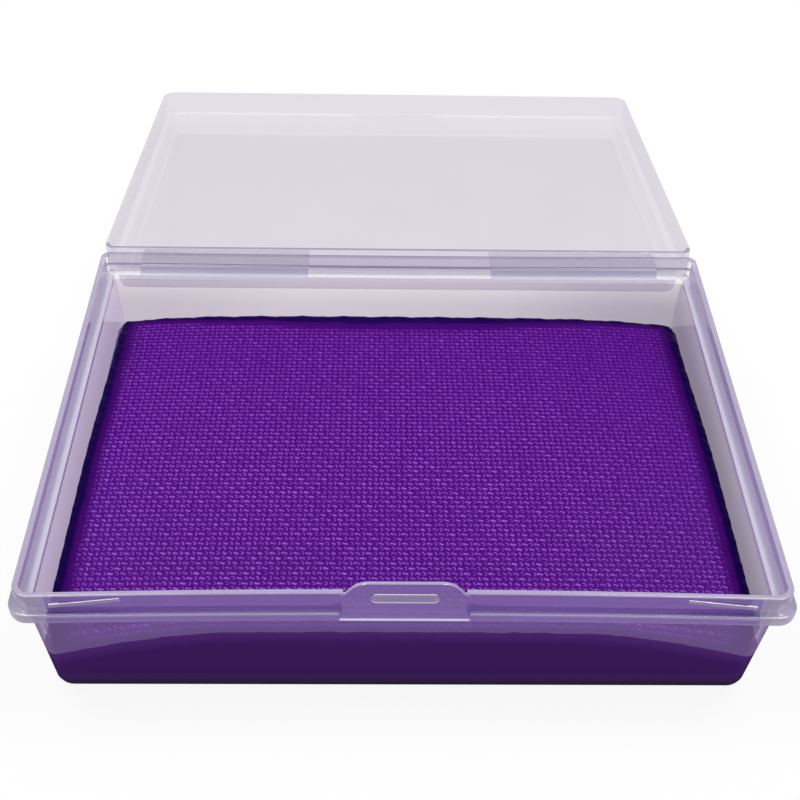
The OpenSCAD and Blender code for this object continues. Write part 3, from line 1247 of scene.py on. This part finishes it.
    def snap_rib(self, side: int) -> Piece:
        """Models the wedge rib beside one front corner: low and proud there, high and flat further in.

        Args:
            side: -1 for the left corner, 1 for the right one.

        Returns:
            The rib.
        """
        s = self.s
        outer = s.width / 2 - self.rib_from_side
        face, top = s.front + s.lip_inset, s.lip_top_z - self.rib_drop
        x_low, x_high = sorted((side * outer, side * (outer - self.rib_l)))
        rib = Bench.block("snap_rib", (x_low, face - 0.1, top - 1), (x_high, face + 0.5, top))
        for vertex in rib.data.vertices:
            x, y, z = vertex.co / MM
            near_corner = abs(x) > outer - self.rib_l / 2
            drop = (self.rib_slant if near_corner else 0.0) + (self.rib_h if z < top - 0.5 else 0.0)
            proud = self.rib_proud if near_corner else self.rib_proud_inner
            step = self.rib_in if y > face + 0.2 else -proud
            vertex.co = Vector((x, face + s.front_bow * s.bow_share(x) + step, top - drop)) * MM
        Bench.bevel(rib, self.rib_edge_r)
        return rib

    def zone(self, middle: Vector, normal: Vector) -> Zone:
        """Chooses the finish of a face.

        Args:
            middle: The face's middle, in millimetres.
            normal: Its direction.

        Returns:
            Its zone.
        """
        s = self.s
        on_rim = middle.z > s.under - 0.15
        if middle.y < s.front + self.front_reach and middle.z > self.latch_foot - 0.1:
            on_plate = abs(middle.x) < s.latch_w / 2 + 0.05 and middle.y < s.front + self.plate_reach
            if on_plate or on_rim:
                return self._front_zone(middle, normal)
        if on_rim:
            return self._rim_zone(middle, normal)
        if normal.z < -0.6 or (s.outwards(middle, normal) and normal.z < 0.6):
            flange_under = normal.z < -0.6 and middle.z > s.flange_z / 2
            return Zone.CLEAR if flange_under else Zone.SKIN
        if abs(normal.x) > 0.5:
            return Zone.SIDE
        return Zone.CLEAR if normal.y > 0 else Zone.INNER

    def _front_zone(self, middle: Vector, normal: Vector) -> Zone:
        """Chooses the finish of a face of the front rim and the latch, as `zone` does."""
        s, across = self.s, abs(middle.x)
        bow = s.front_bow * s.bow_share(across)
        face, half = s.front + s.lip_inset + bow, s.latch_w / 2
        # The foot bead's faces get the painted highlight line.
        if across < half and middle.z < self.latch_foot + self.bead_h + 0.02:
            return Zone.GLINT if middle.y < face - 0.02 and normal.z > -0.5 else Zone.FRONT
        if middle.y < face - 0.08 and middle.z > s.flange_z + 0.6:
            return self._raised_zone(across < self.ridge_l / 2 + 0.1, normal)
        if normal.z > 0.55 and middle.z > s.flange_z + 1:
            behind_plate = across < half - 2.6 and middle.z < s.lip_top_z + 0.1
            return Zone.CLEAR if behind_plate else Zone.EDGE
        if normal.z > 0.9:
            if middle.y > face + 0.2 and across < s.width / 2 - s.lip_inset - s.lip_t:
                return Zone.CLEAR
            return Zone.EDGE if across > self.end_x else Zone.FRONT_TOP
        if 0.2 < normal.z < 0.97 and middle.y < s.front + bow + 0.4:
            return Zone.EDGE
        if across > self.end_x:
            return Zone.FRONT_END
        return Zone.CLEAR if normal.y > 0.5 else Zone.FRONT

    @staticmethod
    def _raised_zone(on_ridge: bool, normal: Vector) -> Zone:
        """Chooses the finish of a face that stands proud of the lip.

        Args:
            on_ridge: Whether it is on the catch ridge and not on a snap rib.
            normal: Its direction.

        Returns:
            Its zone.
        """
        # Rib tops and part of the ridge's rounding get painted highlight lines.
        if not on_ridge:
            return Zone.GLINT if normal.z > 0.5 else Zone.FRONT_END
        if abs(normal.z) < 0.1:
            return Zone.FRONT_END
        return Zone.EDGE if 0 < normal.z < 0.8 else Zone.GLINT

    def _rim_zone(self, middle: Vector, normal: Vector) -> Zone:
        """Chooses the finish of a face of the side and rear rim, as `zone` does."""
        s, across = self.s, abs(middle.x)
        ledge_z, rear = s.flange_z - self.ledge_drop, middle.y > s.depth / 2 - self.rear_reach
        behind_strap = s.strap_x[0] < across < s.strap_x[1]
        # Ledge faces get painted highlight lines; between the straps the rear ledge gets the glowing one.
        if rear and behind_strap and normal.y < -0.5 and ledge_z + 0.1 < middle.z < ledge_z + self.band_h:
            return Zone.LEDGE
        slope = 0.25 if rear and behind_strap else 0.55
        on_lip = middle.y > s.depth / 2 - s.lip_inset or across > s.width / 2 - s.lip_inset
        if normal.z > slope and ledge_z - 0.1 < middle.z < ledge_z + 0.45 and not on_lip:
            return Zone.GLEAM if rear and not behind_strap else Zone.LEDGE
        if not rear:
            faces_in = normal.x * middle.x < 0 and abs(normal.x) > 0.5
            return Zone.SIDE_LIP if faces_in else Zone.EDGE
        if normal.z > 0.2 and (middle.z > s.lip_top_z - 0.3 or not behind_strap):
            return Zone.SHADE
        return Zone.MIST if normal.y < -0.5 and middle.z > ledge_z else Zone.CLEAR

    def build(self) -> list[Piece]:
        """Models and dresses the tray.

        Returns:
            The tray.
        """
        s = self.s
        tray = self.loft()
        notch_low = (-s.latch_w / 2, s.front - 1, self.latch_foot - self.notch_under)
        notch_high = (s.latch_w / 2, self.latch_face, s.flange_z + self.notch_over)
        notch = Bench.block("notch", notch_low, notch_high)
        Bench.boolean(tray, notch, "DIFFERENCE")
        Bench.boolean(tray, self.latch_plate())
        Bench.boolean(tray, self.catch_ridge())
        for side in (-1, 1):
            Bench.boolean(tray, self.snap_rib(side))
        Bench.outward(tray)
        for place in (s.strap_x[1], s.strap_x[0], self.end_x):
            Bench.split(tray, (place, 0, 0), (1, 0, 0))
            Bench.split(tray, (-place, 0, 0), (1, 0, 0))
        Bench.smooth(tray)
        Bench.dress(tray, TRAY_FINISHES, self.zone)
        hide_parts("base_tray")
        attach(tray, "base")
        return [tray]


@dataclass
class CaseLid:
    """The lid: skirt, shoulder, leaning upper wall, panel and latch pocket."""

    s: CaseSizes
    height: float = 10.1
    skirt_h: float = 4.9
    skirt_t: float = 0.8
    shoulder_w: float = 1.3
    wall: float = 0.85
    draft: float = 0.7
    panel_t: float = 1.3
    cap_in: float = 5.0
    seat: float = 0.1
    rear_gap: float = 0.05
    pocket_clear: float = 0.75
    pocket_face: float = 1.35
    boss_wall: float = 0.9
    boss_drop: float = 0.8
    boss_edge_r: float = 0.3
    bead_l: float = 9.5
    bead_h: float = 1.0
    bead_y: Pair = (0.3, 0.8)
    bead_edge_r: float = 0.15
    hinge_reach: float = 4.0
    far_reach: float = 3.0

    @property
    def rim_z(self) -> float:
        """The height of the closed lid's rim."""
        return self.s.flange_z + self.seat

    @property
    def top_z(self) -> float:
        """The height of the closed lid's top."""
        return self.rim_z + self.height

    @property
    def shoulder_z(self) -> float:
        """The height of the closed lid's shoulder."""
        return self.rim_z + self.skirt_h

    def loft(self) -> Piece:
        """Models the lid's shell in its closed place.

        Returns:
            The shell.
        """
        s, cap, skirt = self.s, self.cap_in, self.skirt_t
        upper = skirt + self.shoulder_w
        outer = upper - self.wall
        shoulder_top, inner_top = self.shoulder_z + self.wall, self.top_z - self.panel_t
        lean_out, lean_in = outer + self.draft, upper + self.draft
        return ProfileLoft(s.width / 2, s.front, s.depth / 2 - self.rear_gap).build("case_lid", [
            Turn(Ring(lean_out + cap, lean_out + cap, self.top_z, 2.0)),
            Turn(Ring(lean_out, lean_out, self.top_z, 2.4), 0.9),
            Turn(Ring(outer, outer, shoulder_top, 2.6), 0.25),
            Turn(Ring(0, 0, shoulder_top, 3.0), 0.4),
            Turn(Ring(0, 0, self.rim_z, 3.0), 0.25),
            Turn(Ring(skirt, skirt, self.rim_z, 2.4), 0.25),
            Turn(Ring(skirt, skirt, self.shoulder_z, 2.4), 0.15),
            Turn(Ring(upper, upper, self.shoulder_z, 1.6), 0.2),
            Turn(Ring(lean_in, lean_in, inner_top, 1.5), 0.4),
            Turn(Ring(lean_in + cap, lean_in + cap, inner_top, 1.2)),
        ])

    def zone(self, middle: Vector, normal: Vector) -> Zone:
        """Chooses the finish of a face of the closed lid.

        Args:
            middle: The face's middle, in millimetres.
            normal: Its direction.

        Returns:
            Its zone.
        """
        s = self.s
        near_hinge = middle.y > s.depth / 2 - self.hinge_reach
        if middle.z < self.rim_z + 0.5 and (normal.z < -0.3 or near_hinge):
            return Zone.SHADE if near_hinge and normal.z < -0.3 else Zone.CLEAR
        far_ledge = middle.y < s.front + self.far_reach and abs(middle.z - self.shoulder_z) < 0.4
        if far_ledge and normal.z < -0.55:
            return Zone.GLINT
        if near_hinge and abs(normal.z) < 0.6:
            return Zone.CLEAR
        if normal.z > 0.95 and middle.z > self.top_z - 0.3:
            return Zone.PANEL
        return Zone.SKIN if normal.z > 0.6 or (s.outwards(middle, normal) and normal.z > -0.6) else Zone.CLEAR

    def build(self) -> list[Piece]:
        """Models the lid closed, swings it open and dresses it.

        Returns:
            The lid.
        """
        s = self.s
        lid = self.loft()
        half, bead_half = s.latch_w / 2 + self.pocket_clear, self.bead_l / 2
        boss_half = half + self.boss_wall
        inner = s.front + (self.skirt_t + self.shoulder_w + self.draft)
        boss_low = (-boss_half, s.front + 0.02, self.shoulder_z)
        boss = Bench.block("boss", boss_low, (boss_half, inner, self.top_z - self.boss_drop))
        Bench.bevel(boss, self.boss_edge_r)
        Bench.boolean(lid, boss)
        pocket_low = (-half, s.front + self.pocket_face, self.rim_z - 1)
        pocket = Bench.block("pocket", pocket_low, (half, inner + 1, self.top_z - self.panel_t))
        Bench.boolean(lid, pocket, "DIFFERENCE")
        near, far = (s.front + y for y in self.bead_y)
        bead = Bench.block("bead", (-bead_half, near, self.rim_z), (bead_half, far, self.rim_z + self.bead_h))
        Bench.bevel(bead, self.bead_edge_r)
        Bench.boolean(lid, bead)
        Bench.outward(lid)
        Bench.dress(lid, LID_FINISHES, self.zone)
        self.swing(lid)
        Bench.smooth(lid)
        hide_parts("lid")
        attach(lid, "lid")
        return [lid]

    def swing(self, piece: Piece) -> None:
        """Turns a piece that was modelled closed out to the open place.

        Args:
            piece: The piece.
        """
        fold = Vector((0, self.s.fold_y, self.s.fold_z)) * MM
        turn = Matrix.Rotation(-math.radians(self.s.open_angle), 4, "X")
        piece.matrix_world = Matrix.Translation(fold) @ turn @ Matrix.Translation(-fold) @ piece.matrix_world
        Bench.settle(piece)


@dataclass
class HingeStraps:
    """The two flat straps that join the tray to the lid, modelled bent at the fold for the open lid."""

    s: CaseSizes
    root_t: float = 0.5
    root_in: float = 0.06
    film_t: float = 0.32
    steps: int = 16
    lid_in: float = 0.05
    below_fold: float = 0.06
    bend_half: float = 0.6
    flex_half: float = 1.8
    edge_r: float = 0.06

    def strap(self, side: int, name: str) -> Piece:
        """Models one strap at rest, bent at the fold line by the open lid's slope.

        Args:
            side: -1 for the left strap, 1 for the right one.
            name: The piece's name.

        Returns:
            The strap.
        """
        s = self.s
        x_low, x_high = sorted(side * x for x in s.strap_x)
        reach = s.fold_y - s.depth / 2
        low, high = (x_low, -reach - self.root_in, -self.root_t), (x_high, reach + self.lid_in, 0)
        strap = Bench.block(name, low, high)
        for step in range(1, self.steps):
            Bench.split(strap, (0, -reach + (2 * reach + self.lid_in) * step / self.steps, 0), (0, 1, 0))
        slope = math.radians(s.open_angle - 180)
        for vertex in strap.data.vertices:
            x, y, z = vertex.co / MM
            share = min(1.0, abs(y) / reach)
            z *= (self.film_t + (self.root_t - self.film_t) * share) / self.root_t
            if y < -reach - 0.01:
                y = -reach - self.root_in - s.rear_bow * s.bow_share(x)
            bend = slope * min(1.0, max(0.0, (y + self.bend_half) / (2 * self.bend_half)))
            z -= self.below_fold + max(0.0, y) * math.tan(bend)
            vertex.co = Vector((x, s.fold_y + y, s.fold_z + z)) * MM
        Bench.bevel(strap, self.edge_r, 2, 50)
        return strap

    @staticmethod
    def zone(_middle: Vector, normal: Vector) -> Zone:
        """Chooses the finish of a face: the underside, and the ends inside the two rims, stay clear."""
        return Zone.MIST if normal.z > 0.5 or abs(normal.x) > 0.5 else Zone.CLEAR

    def build(self) -> list[Piece]:
        """Models and dresses both straps.

        Returns:
            The straps.
        """
        s = self.s
        straps = []
        for side, word in ((-1, "left"), (1, "right")):
            strap = self.strap(side, f"hinge_strap_{word}")
            Bench.outward(strap)
            Bench.smooth(strap, 40)
            Bench.dress(strap, STRAP_FINISHES, self.zone)
            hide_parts(f"tray_hinge_leaf_{word}", f"lid_hinge_leaf_{word}")
            start = (0, (s.fold_y - self.flex_half) * MM, s.fold_z * MM)
            end = (0, (s.fold_y + self.flex_half) * MM, s.fold_z * MM)
            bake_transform(strap)
            straps.append(strap)
        return straps


# ---- The cake ----------------------------------------------------------------------------------


@dataclass
class PaintCake:
    """The cast cake: a cushion-shaped top with a woven imprint, and drafted sides."""

    s: CaseSizes
    weave: Weave = field(default_factory=Weave)
    middle_z: float = 14.9
    rear_drop: float = 2.0
    side_drop: Pair = (0.6, 0.5)
    corner_drop: Pair = (5.6, 0.8)
    band: float = 1.6
    edge_drop: float = 0.45
    ripple: float = 0.16
    ripple_w: float = 3.0
    sheet: float = 0.05
    stretch_from: float = 0.88
    corner_r: float = 1.5
    across_steps: int = 4
    along_steps: int = 4

    def level(self, u: float, v: float) -> float:
        """Works out the height of the smooth top.

        Args:
            u: Place across, as a share of the half width.
            v: Place along, as a share of the half depth.

        Returns:
            The height in millimetres.
        """
        rear = self.rear_drop * _ease((v + 0.2) / 1.2)
        side = (self.side_drop[0] + self.side_drop[1] * _ease(v)) * abs(u) ** 3
        front_corner = max(0.0, (abs(u) - 0.5) / 0.5) ** 1.6 * _ease((-v - 0.86) / 0.14)
        rear_corner = max(0.0, (abs(u) - 0.6) / 0.4) ** 2 * _ease((v - 0.8) / 0.2)
        corner = self.corner_drop[0] * front_corner + self.corner_drop[1] * rear_corner
        return self.middle_z - rear - side - corner

    def fall(self, edge: float) -> float:
        """How far the top falls to the wall at a distance from it."""
        return self.edge_drop * max(0.0, 1 - edge / self.band) ** 2

    def build(self) -> list[Piece]:
        """Models and dresses the cake.

        Returns:
            The cake.
        """
        s, weave = self.s, self.weave
        across, along = weave.step / self.across_steps, weave.row / self.along_steps
        half_w = s.inside_half_width(self.middle_z)
        half_d = -s.inside_reach(s.width, self.middle_z, -1)
        columns, rows = math.ceil(half_w / across), math.ceil(half_d / along)
        full = (columns * across, rows * along)
        Bench.clear()
        bpy.ops.mesh.primitive_grid_add(x_subdivisions=2 * columns, y_subdivisions=2 * rows, size=2)
        cake = Bench.named("paint_cake_cast")
        for vertex in cake.data.vertices:
            u, v = vertex.co.x, vertex.co.y
            level = self.level(u, v)
            x, y = self._laid(u * columns * across, v * rows * along, level, full)
            edge = min(half_w - abs(x), half_d - abs(y))
            woven = _ease((edge - 0.6 * self.band) / (0.7 * self.band))
            wave = self.ripple * _ease(1 - edge / self.ripple_w) * _ripple(x + 1.7 * y)
            z = level + wave - self.fall(edge) + weave.relief * (weave.height(x, y) - 1) * woven
            vertex.co = Vector((x, y, z)) * MM
        self._sides(cake)
        Bench.outward(cake)
        Bench.smooth(cake, 60)
        cake.data.materials.append(CastPaint(weave).build(half_w, half_d, self.band))
        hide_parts("paint_cake")
        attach(cake, "base")
        return [cake]

    def _laid(self, x: float, y: float, z: float, full: Pair) -> Pair:
        """Stretches the cake's outer band to the wall and rounds its corners.

        Args:
            x: Place across the grid, in millimetres.
            y: Place along the grid.
            z: Height of the top there.
            full: Half the grid's width and depth.

        Returns:
            The place on the cake.
        """
        side = -1 if y < 0 else 1
        half_w = self.s.inside_half_width(z) + self.sheet
        x *= self._stretch(abs(x) / full[0], half_w / full[0])
        half_d = side * self.s.inside_reach(x, z, side) + self.sheet
        y *= self._stretch(abs(y) / full[1], half_d / full[1])
        return _round_corner(x, y, half_w, half_d, self.corner_r)

    def _stretch(self, share: float, most: float) -> float:
        """The factor that stretches the grid at a share of its half, `most` at its edge."""
        return 1 + (most - 1) * _ease((share - self.stretch_from) / (1 - self.stretch_from))

    def _sides(self, cake: Piece) -> None:
        """Draws the cake's sides down the walls to the floor and closes its underside.

        Args:
            cake: The cake's top.
        """
        s = self.s
        with Bench.editing(cake):
            for foot, inset in ((s.floor_t + s.foot_r, 0.0), (s.floor_t, 0.8 * s.foot_r)):
                Bench.pick(cake, lambda edge: edge.is_boundary)
                bpy.ops.mesh.extrude_edges_move()
                for vertex in bmesh.from_edit_mesh(cake.data).verts:
                    if not vertex.select:
                        continue
                    x, y, z = vertex.co / MM
                    side = -1 if y < 0 else 1
                    wide = (s.inside_half_width(foot) - inset) / s.inside_half_width(z)
                    deep = (abs(s.inside_reach(x, foot, side)) - inset) / abs(s.inside_reach(x, z, side))
                    vertex.co = Vector((x * wide, y * deep, foot)) * MM
                bmesh.update_edit_mesh(cake.data)
            bpy.ops.mesh.edge_face_add()


def _round_corner(x: float, y: float, half_w: float, half_d: float, radius: float) -> Pair:
    """Draws a point near a rectangle's corner in, so that the corner is round.

    Args:
        x: Place across.
        y: Place along.
        half_w: Half the rectangle's width.
        half_d: Half its depth.
        radius: The corner's radius.

    Returns:
        The new place.
    """
    dx, dy = abs(x) - (half_w - radius), abs(y) - (half_d - radius)
    if dx <= 0 or dy <= 0:
        return x, y
    share = max(dx, dy) / math.hypot(dx, dy)
    return math.copysign(half_w - radius + dx * share, x), math.copysign(half_d - radius + dy * share, y)


def _ripple(place: float) -> float:
    """An uneven wave from -1 to 1 along the wall."""
    waves = ((0.5, 0.71, 0.0), (0.3, 1.63, 1.1), (0.2, 3.1, 2.3))
    return sum(size * math.sin(place * rate + shift) for size, rate, shift in waves)


def _ease(share: float) -> float:
    """A smooth step from 0 to 1."""
    share = min(1.0, max(0.0, share))
    return share * share * (3 - 2 * share)


# ---- Studio ------------------------------------------------------------------------------------


@dataclass(frozen=True)
class Viewpoint:
    """Where the camera stands, in millimetres and degrees."""

    place: Triple = (-4.54, -153.17, 169.01)
    turn: float = 1.55
    tilt: float = 43.0
    roll: float = 1.46
    lens: float = 56.66
    sensor: float = 36.0
    clip_m: Pair = (0.005, 20.0)


@dataclass(frozen=True)
class Softbox:
    """A square soft light that faces the case, in metres and watts."""

    name: str
    place: Triple
    size: float
    power: float
    aim: Triple = (0.0, 0.02, 0.0)

    def build(self) -> None:
        """Adds the light."""
        data = bpy.data.lights.new(self.name, "AREA")
        data.shape, data.size, data.energy = "SQUARE", self.size, self.power
        lamp = bpy.data.objects.new(self.name, data)
        bpy.context.scene.collection.objects.link(lamp)
        lamp.location = self.place
        lamp.rotation_euler = (Vector(self.aim) - Vector(self.place)).to_track_quat("-Z", "Y").to_euler()


@dataclass(frozen=True)
class Studio:
    """Camera, table, white surround and soft light."""

    viewpoint: Viewpoint = Viewpoint()
    surround: float = 0.3
    table_m: float = 6.0
    table_z: float = -0.03
    softboxes: tuple[Softbox, ...] = (
        Softbox("left_softbox", (-0.32, 0.12, 0.8), 0.3, 2.8),
        Softbox("right_softbox", (0.32, 0.12, 0.8), 0.3, 2.8),
        Softbox("front_fill", (0.0, -0.8, 0.45), 0.5, 0.7),
    )

    def camera(self) -> None:
        """Adds the camera."""
        v = self.viewpoint
        data = bpy.data.cameras.new("camera")
        data.lens, data.sensor_width, data.sensor_fit = v.lens, v.sensor, "HORIZONTAL"
        data.clip_start, data.clip_end = v.clip_m
        camera = bpy.data.objects.new("camera", data)
        bpy.context.scene.collection.objects.link(camera)
        turns = ((-v.turn, "Z"), (90 - v.tilt, "X"), (v.roll, "Z"))
        turn, tilt, roll = (Matrix.Rotation(math.radians(angle), 4, axis) for angle, axis in turns)
        camera.matrix_world = Matrix.Translation(Vector(v.place) * MM) @ (turn @ tilt) @ roll
        bpy.context.scene.camera = camera

    def table(self) -> None:
        """Adds the table."""
        Bench.clear()
        bpy.ops.mesh.primitive_plane_add(size=self.table_m, location=(0, 0, self.table_z * MM))
        table = Bench.named("table")
        table.data.materials.append(Tabletop().build())
        table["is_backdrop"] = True

    def world(self) -> None:
        """Sets an even white surround, white where it is seen and softer where it lights."""
        graph = Graph(bpy.data.worlds.new("surround"))
        seen = graph.seen_ray("Is Camera Ray", "Is Transmission Ray")
        strength = seen * (1.0 - self.surround) + self.surround
        back = graph.node("ShaderNodeBackground", None, {"Color": (1, 1, 1, 1), "Strength": strength})
        bpy.context.scene.world = graph.finish(back, "World")

    def build(self) -> None:
        """Sets up the studio."""
        bpy.context.scene.view_settings.view_transform = "Standard"
        self.camera()
        self.table()
        self.world()
        for softbox in self.softboxes:
            softbox.build()


def corners(box: tuple[Vector, Vector]) -> list[list[float]]:
    """A box as plain lists of numbers."""
    return [[float(number) for number in corner] for corner in box]


def main() -> None:
    """Builds the studio and every piece in order."""
    logging.basicConfig(level=logging.INFO, format="%(name)s: %(message)s")
    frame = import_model()
    cad_box = corners(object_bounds())
    sizes = CaseSizes.from_frame(frame["joints"][0])
    Studio().build()
    for part in (CaseTray(sizes), CaseLid(sizes), HingeStraps(sizes), PaintCake(sizes)):
        for piece in part.build():
            LOG.info("%s: %d faces", piece.name, len(piece.data.polygons))
    {"cad": cad_box, "visual": corners(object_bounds())}


if __name__ == "__main__":
    main()
